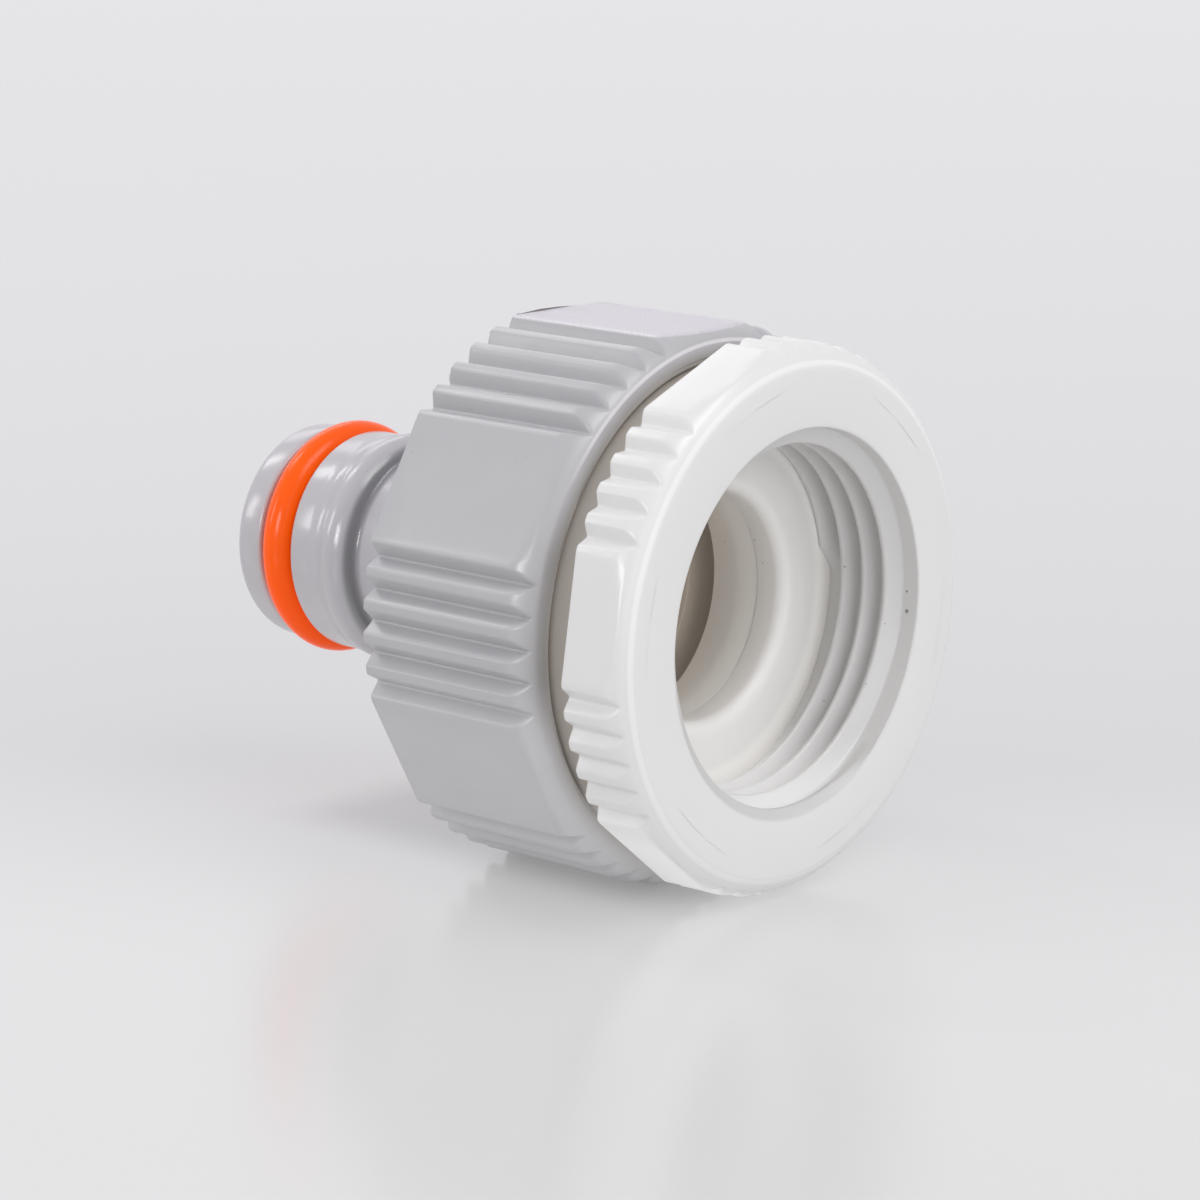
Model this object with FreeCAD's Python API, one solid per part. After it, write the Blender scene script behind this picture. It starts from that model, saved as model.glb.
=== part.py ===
"""Garden-hose tap connector with a click-on nose and a screw-in reducer ring.

The grey body is one moulding: a grip collar with a G 1 socket, and a hollow nose
that a hose coupling clicks onto. An O-ring sits in the nose's groove. A white
reducer ring screws into the socket and brings it down to G 3/4 for a smaller tap.
A flat washer seals each socket. The ring stands about one turn short of home.

Millimetres. The part lies on one flat of its collar: +X runs along its axis from
the nose to the tap side, +Z is up, and the origin is on the floor under the middle
of the part. Stations are distances from the ring's face back towards the nose.
Threads are left as plain walls at their largest diameter, and rounds are a few
chords, so that the part stays light.
"""
import FreeCAD, Part
import math
import os
from FreeCAD import Vector

# Grip pattern of the collar and of the ring: six sides, each one flat and five grooves,
# where one division is the angle of one groove
grip_sides = 6
grooves_per_side = 5
flat_divisions = 4

# Ribs of the grip are cut level at their crests: half width in divisions, depth in mm
rib_crest_half = 0.14
rib_crest_drop = 0.04

# Standard pipe threads, outside diameters, and the pitch of the larger one
tap_thread_d = 26.441
socket_thread_d = 33.249
socket_thread_pitch = 2.309
thread_clearance = 0.08

# Grey body, collar
collar_crest_r = 19.6
collar_groove_depth = 0.98
collar_length = 14.6
collar_front_round_r = 3.0
collar_front_setback = 2.7
shoulder_chords = 3
socket_mouth_chamfer = 0.45
throat_r = 8.6
throat_length = 4.7

# Grey body, nose
nose_length = 24.1
waterway_r = 4.75
neck_r = 6.95
neck_fillet_r = 2.0
neck_fillet_chords = 2
bead_r = 8.3
bead_length = 2.7
bead_flank_length = 1.2
bead_front_chamfer = 0.3
guide_r = 8.0
guide_length = 1.9
tip_r = 7.9
tip_length = 2.6
tip_chamfer = 0.6

# O-ring and its groove
o_ring_inner_r = 6.06
o_ring_section_r = 1.25
o_ring_side_room = 0.3
o_ring_clearance = 0.04
o_ring_chords = 12

# White reducer ring
ring_inset = 0.65
ring_groove_depth = 0.7
ring_turn_deg = 21.4
ring_front_round_r = 2.0
flange_length = 5.0
spigot_length = 9.64
spigot_end_chamfer = 0.8
tap_thread_length = 7.7
ring_bore_r = 8.1
ring_bore_length = 1.75
ring_bore_mouth_r = 8.71

# How far the ring is screwed out
turns_out = 1.0

# Flat washers
socket_washer_thickness = 2.2
socket_washer_bore_r = 9.0
tap_washer_thickness = 2.4
tap_washer_bore_r = 8.0
tap_washer_lip = 0.8
tap_washer_undercut = 0.2
washer_rim_clearance = 0.25
seat_clearance = 0.05

# How far a cutting shape runs past the face that it opens
overcut = 1.0

# What follows from the threads and the pattern
screwed_out = turns_out * socket_thread_pitch + seat_clearance
tap_bore_r = tap_thread_d / 2 + thread_clearance
socket_bore_r = socket_thread_d / 2 + thread_clearance
spigot_r = socket_thread_d / 2 - thread_clearance
undercut_r = tap_bore_r + tap_washer_undercut
ring_crest_r = collar_crest_r - ring_inset
division_deg = 360.0 / (grip_sides * (grooves_per_side + flat_divisions))
flat_half_deg = division_deg * flat_divisions / 2
axis_z = collar_crest_r * math.cos(math.radians(flat_half_deg))

# Stations along the axis
flange_back = flange_length
collar_front = flange_back + screwed_out
collar_back = collar_front + collar_length
spigot_end = flange_back + spigot_length
tap_washer_seat = tap_thread_length + seat_clearance + tap_washer_thickness + seat_clearance
socket_washer_face = spigot_end + screwed_out + seat_clearance
socket_seat = socket_washer_face + socket_washer_thickness + seat_clearance
tip = collar_back + nose_length
groove_front = tip - tip_length
o_ring_groove_width = 2 * o_ring_section_r + 2 * o_ring_side_room
groove_back = groove_front - o_ring_groove_width
bead_front = groove_back - guide_length
bead_back = bead_front - bead_length


def x_of(station):
    """Place along +X of a station, with the part's middle at zero."""
    return tip / 2 - station


def polar(station, radius, degrees):
    """Point at an angle that starts at the top and turns towards -Y."""
    turn = math.radians(degrees)
    return Vector(x_of(station), -radius * math.sin(turn), axis_z + radius * math.cos(turn))


def round_points(station, radius, round_r, first_deg, last_deg, chords):
    """Corners of (station, radius) on a round, where 0 degrees points to the nose and 90 outwards."""
    corners = []
    for step in range(chords + 1):
        turn = math.radians(first_deg + (last_deg - first_deg) * step / chords)
        corners.append((station + round_r * math.cos(turn), radius + round_r * math.sin(turn)))
    return corners


def turned(corners):
    """Solid of revolution about the part's axis, from its outline's corners of (station, radius)."""
    points = [Vector(x_of(station), 0, axis_z + radius) for station, radius in corners]
    outline = Part.makePolygon(points + points[:1])
    return Part.Face(outline).revolve(Vector(0, 0, axis_z), Vector(1, 0, 0), 360)


def grip_section(station, crest_r, groove_depth, turn_deg):
    """Cross-section of a grip: flats as chords of the crest circle, with V grooves between them."""
    divisions_per_side = flat_divisions + grooves_per_side
    shoulder_r = crest_r - rib_crest_drop
    points = []
    for side in range(grip_sides):
        side_turn = turn_deg + side * 360.0 / grip_sides

        def at(division, radius):
            return polar(station, radius, side_turn + division * division_deg)

        first_corner = flat_divisions / 2
        last_corner = divisions_per_side - first_corner
        points.append(at(first_corner, crest_r))
        for groove in range(grooves_per_side):
            start = first_corner + groove
            if groove > 0:
                points.append(at(start + rib_crest_half, shoulder_r))
            points.append(at(start + 0.5, crest_r - groove_depth))
            if groove < grooves_per_side - 1:
                points.append(at(start + 1 - rib_crest_half, shoulder_r))
        points.append(at(last_corner, crest_r))
    return Part.Face(Part.makePolygon(points + points[:1]))


def grip(front, back, crest_r, groove_depth, turn_deg, round_r, setback):
    """Grip whose flats and grooves run out through a rounded front edge."""
    prism = grip_section(front, crest_r, groove_depth, turn_deg).extrude(Vector(front - back, 0, 0))
    first_deg = 180 - math.degrees(math.acos(setback / round_r))
    shoulder = round_points(front + setback, crest_r - round_r, round_r, first_deg, 90, shoulder_chords)
    outer_r = crest_r + overcut
    envelope = turned([(front, 0)] + shoulder + [(front + setback, outer_r), (back, outer_r), (back, 0)])
    return prism.common(envelope)


def make_body():
    """Collar and nose in one moulding, hollow from the socket's mouth to the nose's tip."""
    collar = grip(collar_front, collar_back, collar_crest_r, collar_groove_depth, 0,
                  collar_front_round_r, collar_front_setback)
    inside_collar = collar_back - throat_length / 2
    groove_floor_r = o_ring_inner_r - o_ring_clearance
    neck_foot = round_points(collar_back + neck_fillet_r, neck_r + neck_fillet_r, neck_fillet_r,
                             180, 270, neck_fillet_chords)
    nose = turned([(inside_collar, 0), (inside_collar, neck_r + neck_fillet_r)] + neck_foot + [
        (bead_back - bead_flank_length, neck_r),
        (bead_back, bead_r),
        (bead_front - bead_front_chamfer, bead_r),
        (bead_front, guide_r),
        (groove_back, guide_r),
        (groove_back, groove_floor_r),
        (groove_front, groove_floor_r),
        (groove_front, tip_r),
        (tip - tip_chamfer, tip_r),
        (tip, tip_r - tip_chamfer),
        (tip, 0),
    ])
    hollow = turned([
        (collar_front - overcut, 0),
        (collar_front - overcut, socket_bore_r + socket_mouth_chamfer + overcut),
        (collar_front + socket_mouth_chamfer, socket_bore_r),
        (socket_seat, socket_bore_r),
        (socket_seat, throat_r),
        (socket_seat + throat_length, waterway_r),
        (tip + overcut, waterway_r),
        (tip + overcut, 0),
    ])
    return collar.fuse(nose).cut(hollow).removeSplitter()


def make_nose_o_ring():
    """Round rubber ring that stands proud of the nose."""
    middle_r = o_ring_inner_r + o_ring_section_r
    station = (groove_front + groove_back) / 2
    return turned(round_points(station, middle_r, o_ring_section_r, 90, 450, o_ring_chords)[:-1])


def make_socket_washer():
    """Flat washer on the socket's seat, which the ring's spigot presses on when it is home."""
    rim_r = socket_bore_r - washer_rim_clearance
    back = socket_washer_face + socket_washer_thickness
    return turned([
        (socket_washer_face, socket_washer_bore_r),
        (back, socket_washer_bore_r),
        (back, rim_r),
        (socket_washer_face, rim_r),
    ])


def make_reducer_ring():
    """Ring with a grip flange, a male spigot outside and the tap's thread inside."""
    flange = grip(0, flange_back, ring_crest_r, ring_groove_depth, ring_turn_deg,
                  ring_front_round_r, ring_front_round_r)
    inside_flange = flange_back / 2
    spigot = turned([
        (inside_flange, 0),
        (inside_flange, spigot_r),
        (spigot_end - spigot_end_chamfer, spigot_r),
        (spigot_end, spigot_r - spigot_end_chamfer),
        (spigot_end, 0),
    ])
    hollow = turned([
        (-overcut, 0),
        (-overcut, tap_bore_r),
        (tap_thread_length, tap_bore_r),
        (tap_thread_length, undercut_r),
        (tap_washer_seat, undercut_r),
        (tap_washer_seat, ring_bore_r),
        (tap_washer_seat + ring_bore_length, ring_bore_r),
        (spigot_end, ring_bore_mouth_r),
        (spigot_end + overcut, ring_bore_mouth_r),
        (spigot_end + overcut, 0),
    ])
    return flange.fuse(spigot).cut(hollow).removeSplitter()


def make_tap_washer():
    """Soft washer behind the tap's thread, with an eased inner lip."""
    face = tap_thread_length + seat_clearance
    back = face + tap_washer_thickness
    rim_r = undercut_r - washer_rim_clearance
    return turned([
        (face, tap_washer_bore_r + tap_washer_lip),
        (face + tap_washer_lip, tap_washer_bore_r),
        (back, tap_washer_bore_r),
        (back, rim_r),
        (face, rim_r),
    ])


def main():
    os.makedirs("parts", exist_ok=True)
    pieces = {
        "connector_body": make_body(),
        "nose_o_ring": make_nose_o_ring(),
        "socket_washer": make_socket_washer(),
        "reducer_ring": make_reducer_ring(),
        "tap_washer": make_tap_washer(),
    }
    for name, shape in pieces.items():
        solids = shape.Solids
        print(name, "solids", len(solids), "valid", shape.isValid(), "volume %.1f" % shape.Volume)
        solids[0].exportStep("parts/" + name + ".step")


main()
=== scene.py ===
import bpy
import bmesh
import math
import numpy as np
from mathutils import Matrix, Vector


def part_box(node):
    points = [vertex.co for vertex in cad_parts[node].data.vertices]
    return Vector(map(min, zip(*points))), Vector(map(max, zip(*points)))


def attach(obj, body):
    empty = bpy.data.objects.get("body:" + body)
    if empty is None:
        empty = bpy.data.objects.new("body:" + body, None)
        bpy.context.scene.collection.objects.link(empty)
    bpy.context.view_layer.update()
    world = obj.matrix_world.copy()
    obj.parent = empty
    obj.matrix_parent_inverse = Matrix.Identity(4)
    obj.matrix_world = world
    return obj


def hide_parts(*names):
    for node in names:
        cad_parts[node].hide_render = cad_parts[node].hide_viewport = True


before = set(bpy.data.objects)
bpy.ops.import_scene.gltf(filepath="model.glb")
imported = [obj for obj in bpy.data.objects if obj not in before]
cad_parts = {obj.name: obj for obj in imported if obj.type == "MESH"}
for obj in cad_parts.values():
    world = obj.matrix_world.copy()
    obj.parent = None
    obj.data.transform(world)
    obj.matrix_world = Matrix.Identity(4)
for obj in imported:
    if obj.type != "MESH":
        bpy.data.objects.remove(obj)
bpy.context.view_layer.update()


# Camera. The picture is taken from the tap side and a little above, with a long lens about
# 270 mm from the ring's face, and it leans by under one degree.
mm = 0.001
camera_place = (181.75 * mm, -208.09 * mm, 79.28 * mm)
camera_turn = (77.339, -0.779, 40.473)

bpy.ops.object.select_all(action="DESELECT")
bpy.ops.object.camera_add(location=camera_place, rotation=[math.radians(turn) for turn in camera_turn])
camera = bpy.context.object
camera.data.lens = 120
camera.data.sensor_width = 36
camera.data.clip_start = 10 * mm
camera.data.clip_end = 20
bpy.context.scene.camera = camera
bpy.context.scene.view_settings.view_transform = "Standard"


# Studio. The part lies on a pale satin sheet that is lit from beneath, under an even sky. Two small
# softboxes on the left streak the nose, one above lights the flats, a broad one on the tap side
# lights the ring's face and its bore, and three that show only as reflections pick out the edges.
sky_strength = 0.72
backdrop_shade = (228, 228, 229)
mirrored_shade = (240, 237, 243)
floor_shade = (154, 154, 154)
floor_glow = (161, 161, 161)
# Glow of the sheet behind the part and under it, weaker than elsewhere: painted shade behind the part and a
# painted contact shadow beneath it.
floor_glow_painted_shade_behind = (138, 138, 138)
floor_glow_painted_shadow = (118, 118, 118)
floor_size = 4.0
aim = Vector((0, 0, 19 * mm))


def linear(shade):
    """A colour of 0 to 255 steps as the numbers that Blender works with."""
    steps = [step / 255 for step in shade]
    return tuple(s / 12.92 if s <= 0.04045 else ((s + 0.055) / 1.055) ** 2.4 for s in steps) + (1.0,)


def add_softbox(name, direction, distance, width, height, radiance, only_mirrored=False):
    """A soft lamp that looks at the part from a direction, as bright as its radiance says."""
    toward = Vector(direction).normalized()
    turn = toward.to_track_quat("Z", "Y").to_euler()
    bpy.ops.object.light_add(type="AREA", location=aim + toward * distance * mm, rotation=turn)
    lamp = bpy.context.object
    lamp.name = name
    lamp.data.shape = "RECTANGLE"
    lamp.data.size = width * mm
    lamp.data.size_y = height * mm
    lamp.data.energy = radiance * math.pi * width * height * mm * mm
    lamp.visible_diffuse = not only_mirrored
    return lamp


class Value:
    """One value of a finish. Plain sums on it add the Math nodes."""

    def __init__(self, finish, socket):
        self.finish = finish
        self.socket = socket

    def sum(self, operation, first, second):
        return self.finish.node("ShaderNodeMath", {"operation": operation}, {0: first, 1: second})

    def __add__(self, other):
        return self.sum("ADD", self, other)

    def __radd__(self, other):
        return self.sum("ADD", other, self)

    def __sub__(self, other):
        return self.sum("SUBTRACT", self, other)

    def __rsub__(self, other):
        return self.sum("SUBTRACT", other, self)

    def __mul__(self, other):
        return self.sum("MULTIPLY", self, other)

    def __rmul__(self, other):
        return self.sum("MULTIPLY", other, self)

    def __lt__(self, other):
        return self.sum("LESS_THAN", self, other)


class Finish:
    """The nodes of one material, worked out from the place on the piece."""

    def __init__(self, name, tree=None):
        if tree is None:
            self.material = bpy.data.materials.new(name)
            self.material.use_nodes = True
            tree = self.material.node_tree
            self.shader = tree.nodes["Principled BSDF"]
        self.tree = tree
        self.place = None

    def feed(self, socket, value):
        if isinstance(value, Value):
            self.tree.links.new(value.socket, socket)
        else:
            socket.default_value = value

    def node(self, kind, settings, inputs, output=0):
        """Any node: its settings are set first, then its inputs. Gives one of its outputs."""
        made = self.tree.nodes.new(kind)
        for name, value in settings.items():
            setattr(made, name, value)
        for name, value in inputs.items():
            named = [socket for socket in made.inputs if socket.identifier == name]
            self.feed(named[0] if named else made.inputs[name], value)
        named = [socket for socket in made.outputs if socket.identifier == output]
        return Value(self, named[0] if named else made.outputs[output])

    def where(self):
        """The place on the piece, in metres."""
        if self.place is None:
            self.place = self.node("ShaderNodeTexCoord", {}, {}, "Object")
        return self.place

    def vector(self, operation, first, second, output="Vector"):
        """A Vector Math node of two inputs."""
        inputs = {0: first, 1: second}
        return self.node("ShaderNodeVectorMath", {"operation": operation}, inputs, output)

    def larger(self, first, second):
        """The larger of two values."""
        return self.node("ShaderNodeMath", {"operation": "MAXIMUM"}, {0: first, 1: second})

    def axis(self, name):
        """One coordinate of the place, in millimetres."""
        return self.node("ShaderNodeSeparateXYZ", {}, {"Vector": self.where()}, name) * 1000.0

    def from_axis(self):
        """Distance from the part's axis, in millimetres."""
        flattened = self.vector("MULTIPLY", self.where(), (0.0, 1.0, 1.0))
        return self.vector("DISTANCE", flattened, (0.0, 0.0, axis_z * mm), "Value") * 1000.0

    def from_face(self):
        """Distance from the ring's face towards the nose, in millimetres."""
        return face_x - self.axis("X")

    def above_axis(self):
        """Height above the part's axis, in millimetres."""
        return self.axis("Z") - axis_z

    def cloud(self, size, detail=2.0, stretch=(1.0, 1.0, 1.0)):
        """Cloudy variation from 0 to 1 with patches of a size in millimetres."""
        place = self.vector("MULTIPLY", self.where(), stretch)
        inputs = {"Vector": place, "Scale": 1 / (size * mm), "Detail": detail}
        return self.node("ShaderNodeTexNoise", {}, inputs)

    def between(self, value, off, full):
        """0 where the value is at off, 1 where it is at full, and smooth between them."""
        inputs = {"Value": value, "From Min": off, "From Max": full}
        return self.node("ShaderNodeMapRange", {"interpolation_type": "SMOOTHSTEP"}, inputs)

    def specks(self, size, spacing, share):
        """Round specks of a size, one in some of the cells of a grid with that spacing."""
        settings = {"feature": "F1"}
        inputs = {"Vector": self.where(), "Scale": 1 / (spacing * mm)}
        away = self.node("ShaderNodeTexVoronoi", settings, inputs, "Distance")
        chance = self.node("ShaderNodeTexVoronoi", settings, inputs, "Color")
        chosen = self.node("ShaderNodeSeparateColor", {}, {"Color": chance}, "Red") < share
        return self.between(away, 0.6 * size / spacing, 0.3 * size / spacing) * chosen

    def near(self, point, size):
        """1 at a point and 0 beyond a size in millimetres from it."""
        away = self.vector("DISTANCE", self.where(), point, "Value")
        return self.between(away, size * mm, 0.4 * size * mm)

    def mix(self, share, first, second):
        """Second colour over the first by a share."""
        inputs = {"Factor_Float": share, "A_Color": first, "B_Color": second}
        return self.node("ShaderNodeMix", {"data_type": "RGBA"}, inputs, "Result_Color")

    def set(self, **values):
        for name, value in values.items():
            self.feed(self.shader.inputs[name.replace("_", " ")], value)

    def relief(self, height):
        """Height in millimetres, felt by the light and not by the shape."""
        inputs = {"Height": height, "Distance": mm, "Strength": 1.0}
        self.set(Normal=self.node("ShaderNodeBump", {}, inputs))


add_softbox("softbox_behind_left", (-0.70, -0.10, 0.71), 450, 70, 130, 6.8)
add_softbox("softbox_left", (-0.69, -0.65, 0.32), 450, 60, 130, 8.4)
add_softbox("softbox_above", (0.55, 0.0, 0.83), 450, 300, 200, 1.9)
add_softbox("softbox_tap_side", (0.93, -0.28, 0.24), 700, 460, 400, 1.25)
add_softbox("sheen_low", (0.14, -0.93, 0.25), 400, 120, 110, 12.0, only_mirrored=True)
add_softbox("sheen_behind", (-0.64, 0.48, 0.60), 450, 200, 120, 1.5, only_mirrored=True)
add_softbox("sheen_above", (0.64, 0.02, 0.77), 450, 240, 160, 3.5, only_mirrored=True)

world = bpy.data.worlds.new("bright_sky")
bpy.context.scene.world = world
world.use_nodes = True
sky = Finish("sky", world.node_tree)
seen = sky.node("ShaderNodeLightPath", {}, {}, "Is Camera Ray")
mirrored = sky.node("ShaderNodeLightPath", {}, {}, "Is Glossy Ray")
through = sky.node("ShaderNodeLightPath", {}, {}, "Is Transmission Ray")
shown = sky.larger(seen, through)
light_colour = tuple(sky_strength * part for part in (1.0, 1.0, 1.02)) + (1.0,)
sky_colour = sky.mix(shown, light_colour, linear(backdrop_shade))
sky_colour = sky.mix(mirrored, sky_colour, linear(mirrored_shade))
sky.feed(world.node_tree.nodes["Background"].inputs["Color"], sky_colour)

bpy.ops.object.select_all(action="DESELECT")
bpy.ops.mesh.primitive_plane_add(size=floor_size, location=(0, 0, -0.02 * mm))
floor = bpy.context.object
floor.name = "floor"
floor_finish = Finish("pale_satin_floor")
lengthways = floor_finish.axis("X")
across = floor_finish.axis("Y")
# The sheet glows less in a band behind the part, a painted shade, and less again under the part, a painted
# contact shadow.
behind = floor_finish.between(across * 0.76 - lengthways * 0.65, -35.0, 30.0)
painted_contact_shadow = floor_finish.between(across, -12.0, -4.0) * floor_finish.between(across, 10.0, 2.0)
painted_contact_shadow = painted_contact_shadow * floor_finish.between(lengthways, -20.0, -13.0)
painted_contact_shadow = painted_contact_shadow * floor_finish.between(lengthways, 24.0, 14.0)
glow = floor_finish.mix(behind, linear(floor_glow), linear(floor_glow_painted_shade_behind))
glow = floor_finish.mix(painted_contact_shadow, glow, linear(floor_glow_painted_shadow))
floor_finish.set(Base_Color=linear(floor_shade), Roughness=0.22, Emission_Color=glow, Emission_Strength=1.0)
floor.data.materials.append(floor_finish.material)


# Grey body. One moulding of grey plastic: a grip collar with a threaded socket, and a hollow nose
# with a bead, a guide land and the O-ring's groove. The collar's flats are textured, its edge
# towards the nose keeps a little ragged flash from the mould, and the nose is polished.
body_low, body_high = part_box("connector_body")
ring_low, ring_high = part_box("reducer_ring")
o_ring_low, o_ring_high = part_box("nose_o_ring")
axis_z = (o_ring_low.z + o_ring_high.z) / 2 / mm
face_x = ring_high.x / mm
collar_front = face_x - body_high.x / mm
tip = face_x - body_low.x / mm
collar_back = collar_front + 14.6
socket_seat = 19.3
throat_length = 4.7
throat_r = 8.6
collar_crest_r = 19.6
collar_groove_depth = 1.02
collar_edge_r = 0.18
mouth_seam_r = 17.6
back_seam_r = 17.9
mouth_crease_r = 18.36
mouth_round_length = 1.01
mouth_relief_r = 17.02
mouth_relief_length = 3.0
mouth_chamfer = 0.35
socket_r = 16.70
nose_bore_r = 4.75
neck_r = 6.95
bead_r = 8.3
guide_r = 8.0
tip_r = 7.9
groove_floor_r = 6.02
groove_front = tip - 2.6
groove_back = groove_front - 3.1
bead_front = groove_back - 3.55
bead_back = bead_front - 1.55

grip_sides = 6
grooves_per_side = 5
side_deg = 360 / grip_sides
division_deg = side_deg / 9
flat_half_deg = 2 * division_deg
flat_columns = 10
groove_columns = 22
side_columns = flat_columns + grooves_per_side * groove_columns
turn_columns = grip_sides * side_columns
plain_columns = 240


def spot(station, radius, degrees):
    """A point of the part: distance from the ring's face, radius, and angle from the top to the camera."""
    turn = math.radians(degrees)
    return Vector((face_x - station, -radius * math.sin(turn), axis_z + radius * math.cos(turn))) * mm


def only(mesh, chosen):
    """In edit mode, selects the vertices that pass a test, and nothing else."""
    bpy.ops.mesh.select_all(action="DESELECT")
    shape = bmesh.from_edit_mesh(mesh)
    for vertex in shape.verts:
        vertex.select = chosen(vertex)
    shape.select_flush_mode()
    bmesh.update_edit_mesh(mesh)


def draw_outline(name, corners, steps_per_mm=9):
    """Closed wire through corners of station, radius and length of rounding, each round bevelled."""
    bpy.ops.object.select_all(action="DESELECT")
    bpy.ops.mesh.primitive_circle_add(vertices=len(corners), radius=mm)
    wire = bpy.context.object
    wire.name = name
    wire.data.name = name
    for vertex, (station, radius, _) in zip(wire.data.vertices, corners):
        vertex.co = spot(station, radius, 0)
    bpy.ops.object.mode_set(mode="EDIT")
    for size in sorted({corner[2] for corner in corners} - {0}):
        places = [spot(station, radius, 0) for station, radius, length in corners if length == size]
        only(wire.data, lambda vertex: any((vertex.co - place).length < 1e-7 for place in places))
        bpy.ops.mesh.bevel(affect="VERTICES", offset_type="OFFSET", offset=size * mm,
                           segments=max(3, round(size * steps_per_mm)), profile=0.5, clamp_overlap=False)
    return wire


def turn_outline(name, corners, columns, steps_per_mm=9, closed=True):
    """Revolved shell from an outline, closed or open between its first and last corner."""
    wire = draw_outline(name, corners, steps_per_mm)
    if not closed:
        ends = [spot(corners[0][0], corners[0][1], 0), spot(corners[-1][0], corners[-1][1], 0)]
        only(wire.data, lambda vertex: any((vertex.co - end).length < 1e-7 for end in ends))
        bpy.ops.mesh.delete(type="EDGE")
    bpy.ops.mesh.select_all(action="SELECT")
    bpy.ops.mesh.spin(steps=columns, angle=2 * math.pi, center=(0, 0, axis_z * mm), axis=(1, 0, 0),
                      use_auto_merge=True)
    bpy.ops.mesh.select_all(action="SELECT")
    bpy.ops.mesh.remove_doubles(threshold=0.0005 * mm)
    bpy.ops.mesh.normals_make_consistent(inside=False)
    bpy.ops.object.mode_set(mode="OBJECT")
    return wire


def read_rounds(piece):
    """Station, radius and angle in degrees of every vertex."""
    places = np.empty(len(piece.data.vertices) * 3)
    piece.data.vertices.foreach_get("co", places)
    x, y, z = places.reshape(-1, 3).T / mm
    z = z - axis_z
    return face_x - x, np.hypot(y, z), np.degrees(np.arctan2(-y, z))


def write_rounds(piece, station, radius, degrees):
    turn = np.radians(degrees)
    places = np.stack([face_x - station, -radius * np.sin(turn), axis_z + radius * np.cos(turn)], axis=1)
    piece.data.vertices.foreach_set("co", (places * mm).ravel())
    piece.data.update()


def close_gap(pieces, seams):
    """Joins an outer and an inner shell, and fills the flat ring that is open between them at each
    seam of station, smallest and largest radius."""
    bpy.ops.object.select_all(action="DESELECT")
    for piece in pieces:
        piece.select_set(True)
    bpy.context.view_layer.objects.active = pieces[0]
    bpy.ops.object.join()
    bpy.ops.object.mode_set(mode="EDIT")
    for station, low, high in seams:
        x = (face_x - station) * mm
        only(pieces[0].data, lambda vertex: abs(vertex.co.x - x) < 0.01 * mm
             and low < math.hypot(vertex.co.y, vertex.co.z - axis_z * mm) / mm < high)
        bpy.ops.mesh.bridge_edge_loops()
    bpy.ops.mesh.select_all(action="SELECT")
    bpy.ops.mesh.normals_make_consistent(inside=False)
    bpy.ops.object.mode_set(mode="OBJECT")
    return pieces[0]


def grip_section(degrees, crest_r, groove_depth):
    """Radius of the sharp grip: flats are chords, and between them lie V grooves with level ribs."""
    local = (degrees + side_deg / 2) % side_deg - side_deg / 2
    flat = crest_r * math.cos(math.radians(flat_half_deg)) / np.cos(np.radians(local))
    across = ((np.abs(local) - flat_half_deg) / division_deg) % 1
    rise = np.clip(np.abs(across - 0.5) * 2 / 0.72, 0, 1)
    return np.where(np.abs(local) <= flat_half_deg, flat, crest_r - groove_depth * (1 - rise))


def press_grip(piece, crest_r, groove_depth, turn_deg, back, edge_r, soft, valley_soft, blend):
    """Moves the columns to where the grooves are, and presses flats and grooves into the turned wall.

    Columns stand close at the ribs' edges and in the valleys. The edges are eased over a width, and
    the section runs out into the rounded shoulder with an edge that is eased over the blend."""
    station, radius, degrees = read_rounds(piece)
    column = np.round(degrees / 360 * turn_columns) % turn_columns
    side, step = np.divmod(column, side_columns)
    across_flat = np.interp(step, [0, 2, 3, 7, 8, 10], [0, 0.02, 0.06, 0.94, 0.98, 1])
    groove, share = np.divmod(np.maximum(step - flat_columns, 0), groove_columns)
    across = np.interp(share, [0, 1, 5, 8, 14, 17, 21, 22], [0, 0.10, 0.18, 0.42, 0.58, 0.82, 0.90, 1])
    in_flat = step <= flat_columns
    along_flat = across_flat * 2 * flat_half_deg
    along_grooves = 2 * flat_half_deg + (groove + across) * division_deg
    pattern = side * side_deg + np.where(in_flat, along_flat, along_grooves) - flat_half_deg
    in_valley = np.where(in_flat, 0, np.clip(1 - np.abs(across - 0.5) / 0.25, 0, 1))
    wide = np.degrees((soft + (valley_soft - soft) * in_valley) / crest_r)
    offsets = np.linspace(-1, 1, 25)
    weights = 1 + np.cos(math.pi * offsets)
    section = sum(weight * grip_section(pattern + offset * wide, crest_r, groove_depth)
                  for offset, weight in zip(offsets, weights)) / weights.sum()
    edge_rows = (station > back - 2 * edge_r) & (radius > crest_r - 1.1 * edge_r)
    well_inside_flat = np.clip(np.minimum(across_flat, 1 - across_flat) / 0.12, 0, 1)
    blend = blend + (0.04 - blend) * np.where(in_flat, well_inside_flat, 0)
    share = np.clip(0.5 + (radius - section) / (2 * blend), 0, 1)
    eased = radius * (1 - share) + section * share - blend * share * (1 - share)
    pressed = np.where(edge_rows, section - (crest_r - radius), eased)
    write_rounds(piece, station, pressed, pattern + turn_deg)


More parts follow.
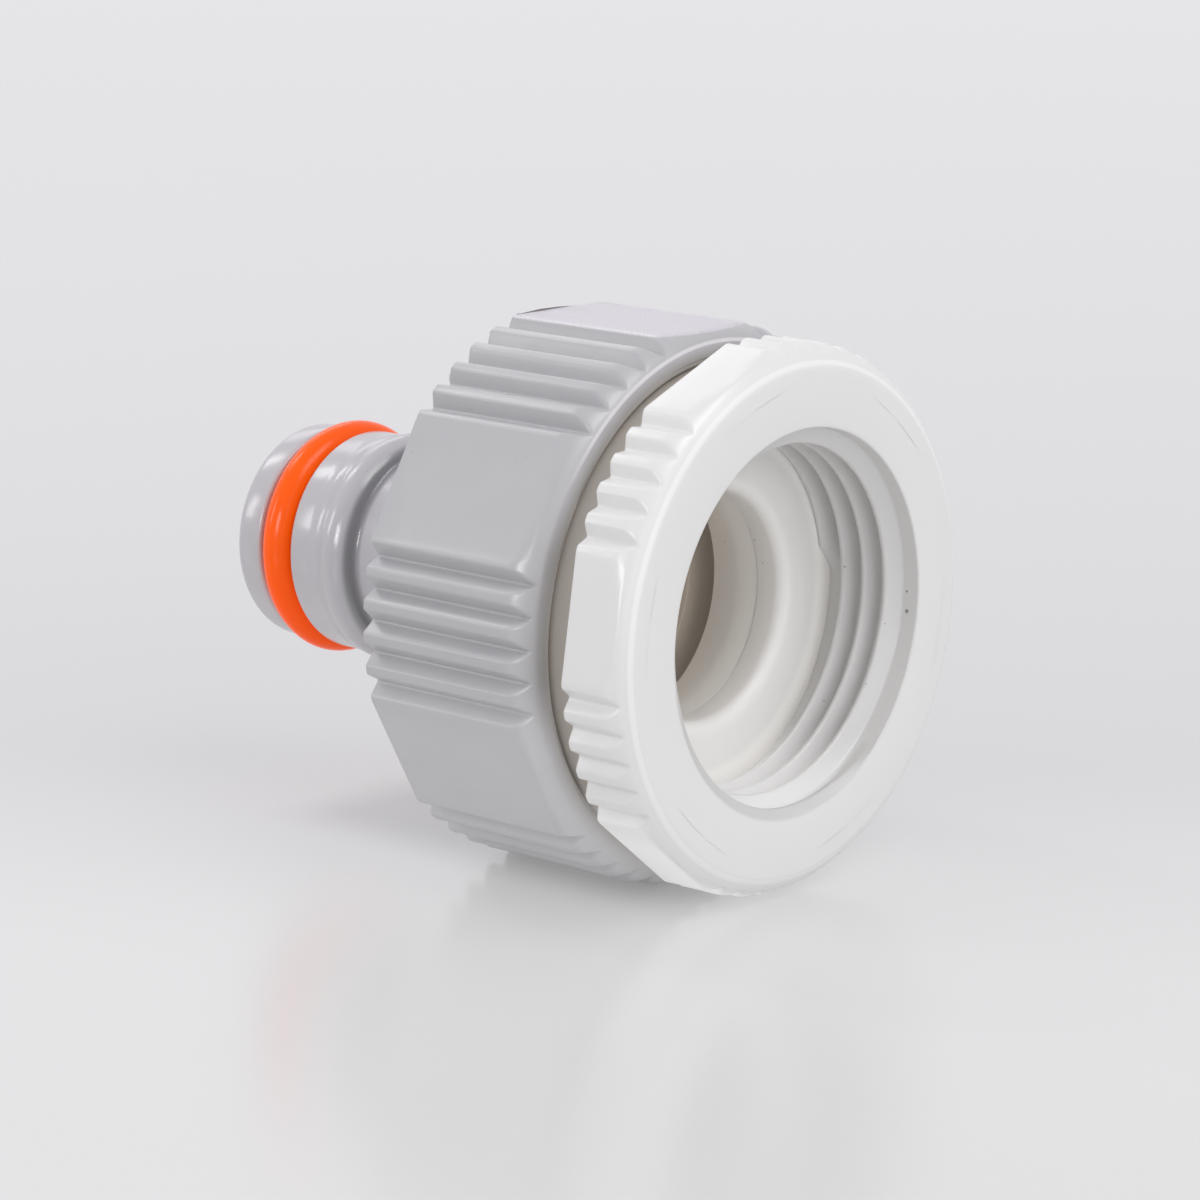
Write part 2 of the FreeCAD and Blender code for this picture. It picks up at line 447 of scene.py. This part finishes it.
def add_ridge(name, wall_r, crest_r, pitch, half_foot, half_crest, crest_round, first, turns, fade, trim):
    """One screw thread as a closed ridge that lies on a wall.

    first is its station and angle at the start, and it runs right-handed away from there. fade
    gives the ridge's height by how far round it is, and trim the stations that it stays between."""
    into = 0.35 if wall_r > crest_r else -0.35
    sink = 0.006 if wall_r > crest_r else -0.006
    station, degrees = first
    reach = pitch / 2 - 0.02
    outline = [
        (station - reach, wall_r + sink, 0),
        (station - half_foot, wall_r + sink, 0.12),
        (station - half_crest, crest_r, crest_round),
        (station + half_crest, crest_r, crest_round),
        (station + half_foot, wall_r + sink, 0.12),
        (station + reach, wall_r + sink, 0),
        (station + reach, wall_r + into, 0),
        (station - reach, wall_r + into, 0),
    ]
    wire = draw_outline(name, outline)
    bpy.ops.object.mode_set(mode="OBJECT")
    for vertex in wire.data.vertices:
        vertex.co.z -= axis_z * mm
    wire.location = (0, 0, axis_z * mm)
    wire.rotation_euler = (math.radians(degrees), 0, 0)
    screw = wire.modifiers.new("thread", "SCREW")
    screw.axis = "X"
    screw.angle = -2 * math.pi * turns
    screw.screw_offset = -pitch * turns * mm
    screw.steps = round(150 * turns)
    screw.render_steps = screw.steps
    screw.use_normal_calculate = True
    bpy.ops.object.modifier_apply(modifier=screw.name)
    bpy.ops.object.transform_apply(location=True, rotation=True, scale=True)
    along, radius, turned = read_rounds(wire)
    behind = (degrees - turned) % 360
    around = behind + 360 * np.round(((along - station) * 360 / pitch - behind) / 360)
    height = np.interp(around, [mark[0] for mark in fade], [mark[1] for mark in fade])
    ridge = (radius - wall_r) * into < 0
    radius = np.where(ridge, wall_r + sink + (radius - wall_r - sink) * height, radius)
    write_rounds(wire, np.clip(along, trim[0], trim[1]), radius, turned)
    bpy.ops.object.mode_set(mode="EDIT")
    bpy.ops.mesh.select_mode(type="EDGE")
    bpy.ops.mesh.select_all(action="DESELECT")
    bpy.ops.mesh.select_non_manifold(extend=False)
    bpy.ops.mesh.edge_face_add()
    bpy.ops.mesh.select_mode(type="VERT")
    bpy.ops.mesh.select_all(action="SELECT")
    bpy.ops.mesh.normals_make_consistent(inside=False)
    bpy.ops.object.mode_set(mode="OBJECT")
    return wire


def finish_piece(pieces, sharp_deg=40):
    """Joins the shells of one moulding and smooths them up to an angle."""
    bpy.ops.object.select_all(action="DESELECT")
    for piece in pieces:
        piece.select_set(True)
    bpy.context.view_layer.objects.active = pieces[0]
    if len(pieces) > 1:
        bpy.ops.object.join()
    bpy.ops.object.shade_smooth_by_angle(angle=math.radians(sharp_deg))
    return pieces[0]


collar = turn_outline("grey_body", [
    (collar_front, mouth_seam_r, 0),
    (collar_front + 0.24, mouth_crease_r, 0.12),
    (collar_front + mouth_round_length, collar_crest_r, 1.32),
    (collar_front + 4.2, collar_crest_r, 0),
    (collar_back - 4, collar_crest_r, 0),
    (collar_back, collar_crest_r, collar_edge_r),
    (collar_back, back_seam_r + 0.1, 0),
], turn_columns, 16, closed=False)
press_grip(collar, collar_crest_r, collar_groove_depth, 0, collar_back, collar_edge_r,
           soft=0.19, valley_soft=0.24, blend=0.16)

ragged = np.random.default_rng(11)
tooth_count = 1500
flash_height = 0.16
flash_middle_deg = 4.5
flash_half_deg = 8.7
station, radius, degrees = read_rounds(collar)
back_rim = (np.abs(station - collar_back) < 0.02) & (radius > 18.3)
teeth = ragged.normal(0, 1, tooth_count)
bumps = np.interp(degrees, np.arange(tooth_count) * 360 / tooth_count - 180, teeth, period=360)
station = np.where(back_rim, station + np.clip(0.06 * bumps, -0.04, 0.18), station)
from_flash_end = flash_half_deg - np.abs(degrees - flash_middle_deg)
top_edge = (station > collar_back - 0.11) & (radius > 18.8) & (from_flash_end > 0)
height = flash_height * np.clip(from_flash_end / 0.8, 0, 1) * np.clip(1 + 0.5 * bumps, 0.3, 1.5)
radius = np.where(top_edge, radius + height, radius)
write_rounds(collar, station, radius, degrees)

core = turn_outline("grey_core", [
    (collar_back, back_seam_r - 0.1, 0),
    (collar_back, neck_r, 2.0),
    (bead_back - 0.5, neck_r, 0.35),
    (bead_back, bead_r, 1.05),
    (bead_front, bead_r, 0.35),
    (bead_front + 0.2, guide_r + 0.02, 0.12),
    (bead_front + 0.85, guide_r + 0.11, 0.3),
    (bead_front + 1.6, guide_r - 0.02, 0.3),
    (groove_back, guide_r, 0.3),
    (groove_back, groove_floor_r, 0.2),
    (groove_front, groove_floor_r, 0.2),
    (groove_front, tip_r, 0.25),
    (tip, tip_r, 0.9),
    (tip, nose_bore_r, 0.3),
    (socket_seat + throat_length, nose_bore_r, 0.8),
    (socket_seat, throat_r, 0.2),
    (socket_seat, socket_r, 0.2),
    (collar_front + mouth_relief_length + 0.2, socket_r, 0.1),
    (collar_front + mouth_relief_length, mouth_relief_r, 0.1),
    (collar_front + mouth_chamfer, mouth_relief_r, 0.1),
    (collar_front, mouth_relief_r + mouth_chamfer, 0.1),
    (collar_front, mouth_seam_r - 0.08, 0),
], plain_columns, 12, closed=False)
body = close_gap([collar, core], [(collar_front, mouth_seam_r - 0.1, mouth_seam_r + 0.05),
                                  (collar_back, back_seam_r - 0.2, back_seam_r + 0.2)])

socket_pitch = 2.309
socket_thread_start = 9.2 + socket_pitch
socket_thread = add_ridge("socket_thread", socket_r, 15.25, socket_pitch,
                          half_foot=0.92, half_crest=0.17, crest_round=0.16,
                          first=(socket_thread_start, 0), turns=2.0,
                          fade=[(0, 0), (70, 1), (680, 1), (720, 0)], trim=(10.65, 16.95))
body = finish_piece([body, socket_thread])

grey = Finish("grey_plastic")
depth = grey.from_face()
away = grey.from_axis()
above = grey.above_axis()
on_nose = grey.between(depth, collar_back + 0.5, collar_back + 1.5)
mottle = grey.cloud(3.0, 3.0)
scuffs = grey.between(grey.cloud(0.5, 2.0, (0.12, 1.0, 1.0)), 0.62, 0.78)
dust = grey.specks(0.10, 0.9, 0.12)
body_colour = grey.mix(mottle, linear((183, 182, 185)), linear((189, 188, 190)))
body_colour = grey.mix(on_nose, body_colour, linear((193, 191, 195)))
body_colour = grey.mix(dust * 0.5, body_colour, linear((120, 118, 118)))

# Inside the socket and the nose's bore the grey is painted warmer and lighter: painted bounced light in the
# recesses.
in_socket = grey.between(away, 16.0, 13.0) * grey.between(depth, 21.7, 21.4)
in_bore = grey.between(away, 6.9, 6.65)
inside = grey.larger(in_socket, in_bore) * grey.between(depth, socket_seat + 6.0, socket_seat)
body_colour = grey.mix(inside, body_colour, linear((205, 192, 176)))

flat_height = 19.0
# Only the top flat is painted lighter and lavender: a painted sheen, broken up by the real grain of its
# sandblasted skin.
grains = grey.between(grey.cloud(0.12, 3.0), 0.36, 0.62)
painted_top_flat_sheen = grey.between(above, flat_height - 0.1, flat_height)
body_colour = grey.mix(painted_top_flat_sheen * (0.35 + 0.65 * grains), body_colour, linear((217, 211, 219)))
# The raised flash on the top flat's edge towards the nose is painted dark: painted shade on the real flash.
painted_flash_shadow = grey.between(above, flat_height + 0.07, flat_height + 0.10)
painted_flash_shadow = painted_flash_shadow * grey.between(depth, collar_back - 0.4, collar_back - 0.2)
body_colour = grey.mix(painted_flash_shadow * 0.9, body_colour, linear((84, 82, 84)))

# The collar's front edge is painted darker at its sides, from just below the axis to a little above it:
# painted shade.
shoulder = grey.between(depth, collar_front + 1.6, collar_front + 0.9) * grey.between(away, 16.8, 17.6)
painted_side_shade = shoulder * grey.between(above, 11.0, 5.0) * grey.between(above, -8.0, -2.0)
painted_side_shade = painted_side_shade * grey.between(away, 19.3, 17.9)
body_colour = grey.mix(painted_side_shade, body_colour, linear((160, 158, 158)))
# A light line on the mouth's crease, on the upper part of the collar, is a painted highlight.
painted_crease_highlight = grey.between(away, mouth_crease_r - 0.16, mouth_crease_r - 0.06)
painted_crease_highlight = painted_crease_highlight * grey.between(away, mouth_crease_r + 0.18, mouth_crease_r + 0.06)
painted_crease_highlight = painted_crease_highlight * grey.between(depth, collar_front + 0.5, collar_front + 0.4)
painted_crease_highlight = painted_crease_highlight * grey.between(above, 9.5, 14.0)
body_colour = grey.mix(painted_crease_highlight * 0.75, body_colour, linear((236, 233, 238)))
# The collar's front face near the mouth is painted darker: painted shade in the gap under the ring's
# flange.
at_mouth = grey.between(depth, collar_front + 0.5, collar_front + 0.35)
body_colour = grey.mix(at_mouth * grey.between(away, 18.3, 17.2), body_colour, linear((166, 162, 158)))
# The hollow just behind the bead, towards the collar, is painted dark: painted shade.
painted_shade_behind_bead = grey.between(depth, bead_back + 0.14, bead_back - 0.26)
painted_shade_behind_bead = painted_shade_behind_bead * grey.between(depth, bead_back - 1.06, bead_back - 0.46)
body_colour = grey.mix(painted_shade_behind_bead * 0.6, body_colour, linear((70, 69, 72)))
grey.set(Base_Color=body_colour)

# The grey's glow is all painted light: in the mouth, in the socket and bore, under the collar and its
# shoulder, and under the nose.
no_glow = (0.0, 0.0, 0.0, 1.0)
in_mouth = at_mouth * grey.between(away, 17.7, 17.3)
underside = grey.between(above, -1.0, -8.0) * grey.between(away, 16.0, 17.2)
under_nose = grey.between(above, 1.0, -6.0) * on_nose * grey.between(away, 7.2, 7.6)
glow = grey.mix(in_mouth, no_glow, (0.09, 0.084, 0.078, 1.0))
glow = grey.mix(inside, glow, (0.19, 0.172, 0.150, 1.0))
glow = grey.mix(underside, glow, (0.055, 0.055, 0.056, 1.0))
glow = grey.mix(underside * shoulder, glow, (0.095, 0.094, 0.093, 1.0))
glow = grey.mix(under_nose, glow, (0.075, 0.075, 0.075, 1.0))
grey.set(Emission_Color=glow, Emission_Strength=1.0)

off_nose = 1.0 - on_nose
grey.set(Roughness=0.285 - 0.10 * on_nose + 0.08 * scuffs * off_nose + 0.03 * mottle)
texture = (grey.cloud(0.11, 2.0) * 0.006 + scuffs * 0.0015) * off_nose
grey.relief(texture + grey.cloud(1.6, 1.0) * 0.006)
body.data.materials.append(grey.material)
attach(body, "body")
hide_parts("connector_body")


# Nose O-ring. A round ring of orange rubber that is stretched into the nose's groove and stands
# proud of it. It is glossy from its moulding and from grease, and carries a few pale specks.
section_r = (o_ring_high.x - o_ring_low.x) / 2 / mm
middle_r = (o_ring_high.z - o_ring_low.z) / 2 / mm - section_r
middle_station = face_x - (o_ring_high.x + o_ring_low.x) / 2 / mm
section_steps = 36

o_ring_outline = []
for step in range(section_steps):
    turn = 2 * math.pi * step / section_steps
    corner_station = middle_station + section_r * math.cos(turn)
    corner_r = middle_r + section_r * math.sin(turn)
    o_ring_outline.append((corner_station, corner_r, 0))
o_ring = turn_outline("orange_o_ring", o_ring_outline, plain_columns)
o_ring = finish_piece([o_ring])

orange = Finish("orange_rubber")
warm = orange.cloud(4.0, 2.0)
orange_colour = orange.mix(warm, linear((255, 86, 0)), linear((255, 96, 2)))
orange_colour = orange.mix(orange.specks(0.12, 1.6, 0.3) * 0.6, orange_colour, linear((255, 190, 150)))
orange.set(Base_Color=orange_colour, Roughness=0.17 + 0.06 * warm, Specular_IOR_Level=0.2)
# The rubber's glow is painted light, stronger on the underside of the ring.
underside = orange.between(orange.above_axis(), 1.0, -6.0)
painted_orange_glow = orange.mix(underside, (0.16, 0.016, 0.0, 1.0), (0.27, 0.020, 0.004, 1.0))
orange.set(Emission_Color=painted_orange_glow, Emission_Strength=1.0)
orange.relief(orange.cloud(0.6, 2.0) * 0.004)
o_ring.data.materials.append(orange.material)
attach(o_ring, "body")
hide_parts("nose_o_ring")


# Socket washer. A flat ring of warm grey rubber that lies loose on the seat of the grey socket,
# punched from sheet, with a matt skin.
washer_low, washer_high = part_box("socket_washer")
washer_face = face_x - washer_high.x / mm
washer_back = face_x - washer_low.x / mm
washer_rim_r = (washer_high.z - washer_low.z) / 2 / mm
washer_bore_r = 9.0

socket_washer = turn_outline("grey_socket_washer", [
    (washer_face, washer_bore_r, 0.15),
    (washer_back, washer_bore_r, 0.15),
    (washer_back, washer_rim_r, 0.25),
    (washer_face, washer_rim_r, 0.25),
], plain_columns)
socket_washer = finish_piece([socket_washer])

rubber = Finish("grey_rubber")
skin = rubber.cloud(0.5, 3.0)
rubber_colour = rubber.mix(skin, linear((190, 178, 164)), linear((200, 188, 174)))
rubber.set(Base_Color=rubber_colour, Roughness=0.55 + 0.15 * skin)
# Its faint even glow is painted light in the dark of the socket.
rubber.set(Emission_Color=(0.05, 0.046, 0.041, 1.0), Emission_Strength=1.0)
rubber.relief(skin * 0.01)
socket_washer.data.materials.append(rubber.material)
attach(socket_washer, "body")
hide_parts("socket_washer")


# Reducer ring. One moulding of white plastic that screws into the grey socket: a ribbed flange with
# a rounded front, a spigot with the large thread outside, and the tap's smaller thread inside.
spigot_end = face_x - ring_low.x / mm
ring_crest_r = 18.95
ring_groove_depth = 0.74
ring_turn = 21.4
flange_back = 5.0
flange_edge_r = 0.18
face_rim_r = 17.45
face_seam_r = 16.3
flange_seam_r = 17.8
mouth_r = 13.3
spigot_root_r = 15.1
spigot_thread_r = 16.54
spigot_neck_r = 16.98
spigot_neck_end = 7.95
spigot_chamfer = 0.8
tap_thread_end = 7.7
washer_seat = 10.2
undercut_r = 13.5
ring_bore_r = 8.1
ring_bore_end_r = 8.71

flange = turn_outline("white_reducer_ring", [
    (0, face_seam_r + 0.1, 0),
    (0, face_rim_r, 0.25),
    (1.05, ring_crest_r, 1.0),
    (3.6, ring_crest_r, 0),
    (flange_back, ring_crest_r, flange_edge_r),
    (flange_back, flange_seam_r + 0.1, 0),
], turn_columns, 20, closed=False)
press_grip(flange, ring_crest_r, ring_groove_depth, ring_turn, flange_back, flange_edge_r,
           soft=0.22, valley_soft=0.26, blend=0.16)
sleeve = turn_outline("white_sleeve", [
    (flange_back, flange_seam_r - 0.1, 0),
    (flange_back, spigot_neck_r, 0.3),
    (spigot_neck_end, spigot_neck_r, 0.1),
    (spigot_neck_end + 0.4, spigot_root_r, 0.15),
    (spigot_end, spigot_root_r, 0.3),
    (spigot_end, ring_bore_end_r, 0.2),
    (washer_seat + 1.75, ring_bore_r, 0.3),
    (washer_seat, ring_bore_r, 0.1),
    (washer_seat, undercut_r, 0),
    (tap_thread_end, undercut_r, 0),
    (tap_thread_end, mouth_r, 0),
    (0, mouth_r, 0.12),
    (0, face_seam_r - 0.1, 0),
], plain_columns, 12, closed=False)
ring = close_gap([flange, sleeve], [(0, face_seam_r - 0.2, face_seam_r + 0.2),
                                    (flange_back, flange_seam_r - 0.2, flange_seam_r + 0.2)])

spigot_thread_start = socket_thread_start - 1.5 * socket_pitch
spigot_thread = add_ridge("spigot_thread", spigot_root_r, 16.47, socket_pitch,
                          half_foot=0.92, half_crest=0.17, crest_round=0.16,
                          first=(spigot_thread_start, 0), turns=2.2,
                          fade=[(0, 1), (760, 1), (792, 0.9)], trim=(6.9, spigot_end - 0.03))
station, radius, degrees = read_rounds(spigot_thread)
into_chamfer = np.clip(station - (spigot_end - spigot_chamfer), 0, spigot_chamfer)
radius = np.minimum(radius, spigot_thread_r - into_chamfer)
write_rounds(spigot_thread, station, radius, degrees)

tap_pitch = 1.814
tap_fade = [(0, 0), (22, 0.42), (55, 0.5), (115, 1), (1380, 1), (1389, 0)]
tap_thread = add_ridge("tap_thread", mouth_r, 12.06, tap_pitch,
                       half_foot=0.74, half_crest=0.15, crest_round=0.14,
                       first=(0.53, -138), turns=3.86,
                       fade=tap_fade, trim=(0.03, tap_thread_end - 0.01))
ring = finish_piece([ring, spigot_thread, tap_thread])

white = Finish("white_plastic")
depth = white.from_face()
away = white.from_axis()
above = white.above_axis()
milk = white.cloud(5.0, 2.0)
inside = white.between(away, 13.6, 13.2)
bore = white.between(away, 10.0, 9.0)
in_gap = white.between(depth, flange_back, flange_back + 0.1) * (1.0 - inside)
white_colour = white.mix(milk, linear((231, 230, 229)), linear((233, 232, 231)))
# Inside the mouth the white is painted a little darker: painted shade. The grit further on is real dirt.
white_colour = white.mix(inside, white_colour, linear((215, 214, 213)))
# In the bore the white is painted lighter: painted light.
white_colour = white.mix(bore, white_colour, linear((238, 236, 231)))
# On the spigot behind the flange the white is painted beige-grey: painted shade in the gap.
white_colour = white.mix(in_gap, white_colour, linear((190, 183, 175)))
# A light line round the rim of the ring's face is a painted highlight.
painted_rim_highlight = white.between(away, face_rim_r - 0.03, face_rim_r + 0.09)
painted_rim_highlight = painted_rim_highlight * white.between(away, face_rim_r + 0.45, face_rim_r + 0.29)
painted_rim_highlight = painted_rim_highlight * white.between(depth, 0.7, 0.4)
white_colour = white.mix(painted_rim_highlight * 0.4, white_colour, linear((254, 254, 254)))

crumbs = [(5.6, 12.2, -84, 0.16), (0.9, 13.3, -96, 0.2), (1.0, 13.3, -90, 0.12)]
grit = white.specks(0.12, 1.1, 0.25) * inside
for station, radius, degrees, size in crumbs:
    grit = white.larger(grit, white.near(spot(station, radius, degrees), size))
white.set(Base_Color=white.mix(grit * 0.8, white_colour, linear((110, 92, 70))))

# The white's glow is painted light: on the underside of the flange and, faintly, in the bore.
underside = white.between(above, -9.0, -14.0) * white.between(depth, 0.6, 1.7)
glow = white.mix(underside, no_glow, (0.21, 0.21, 0.21, 1.0))
glow = white.mix(bore, glow, (0.025, 0.025, 0.024, 1.0))
white.set(Emission_Color=glow, Emission_Strength=1.0)
white.set(Roughness=0.285 + 0.05 * milk)
white.relief(white.cloud(2.5, 1.0) * 0.004)
ring.data.materials.append(white.material)
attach(ring, "ring")
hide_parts("reducer_ring")


# Tap washer. A soft, matt washer of pale rubber with a rounded inner lip, which is pressed into
# the undercut behind the tap's thread and seals on the end of the tap.
tap_low, tap_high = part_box("tap_washer")
tap_face = face_x - tap_high.x / mm - 0.03
tap_back = face_x - tap_low.x / mm
tap_rim_r = (tap_high.z - tap_low.z) / 2 / mm + 0.2
tap_washer_bore_r = 8.0

tap_washer = turn_outline("white_tap_washer", [
    (tap_face, tap_washer_bore_r, 0.95),
    (tap_back, tap_washer_bore_r, 0.15),
    (tap_back, tap_rim_r, 0.05),
    (tap_face, tap_rim_r, 0.05),
], 360)
tap_washer = finish_piece([tap_washer])

pale = Finish("white_rubber")
bloom = pale.cloud(2.5, 3.0)
pale_colour = pale.mix(bloom, linear((240, 239, 237)), linear((245, 243, 240)))
pale_colour = pale.mix(pale.specks(0.13, 1.3, 0.4) * 0.8, pale_colour, linear((118, 102, 84)))
away = pale.from_axis()
# The washer's outer edge and inner lip glow: painted light that lifts the shade where they meet the ring.
painted_edge_light = pale.between(away, 11.2, 12.0) + pale.between(away, 9.4, 8.7) * 0.3
glow = pale.mix(painted_edge_light, no_glow, (0.065, 0.063, 0.060, 1.0))
pale.set(Base_Color=pale_colour, Roughness=0.42 + 0.12 * bloom)
pale.set(Emission_Color=glow, Emission_Strength=1.0)
pale.relief(pale.cloud(0.35, 2.0) * 0.004)
tap_washer.data.materials.append(pale.material)
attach(tap_washer, "tap_seal")
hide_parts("tap_washer")
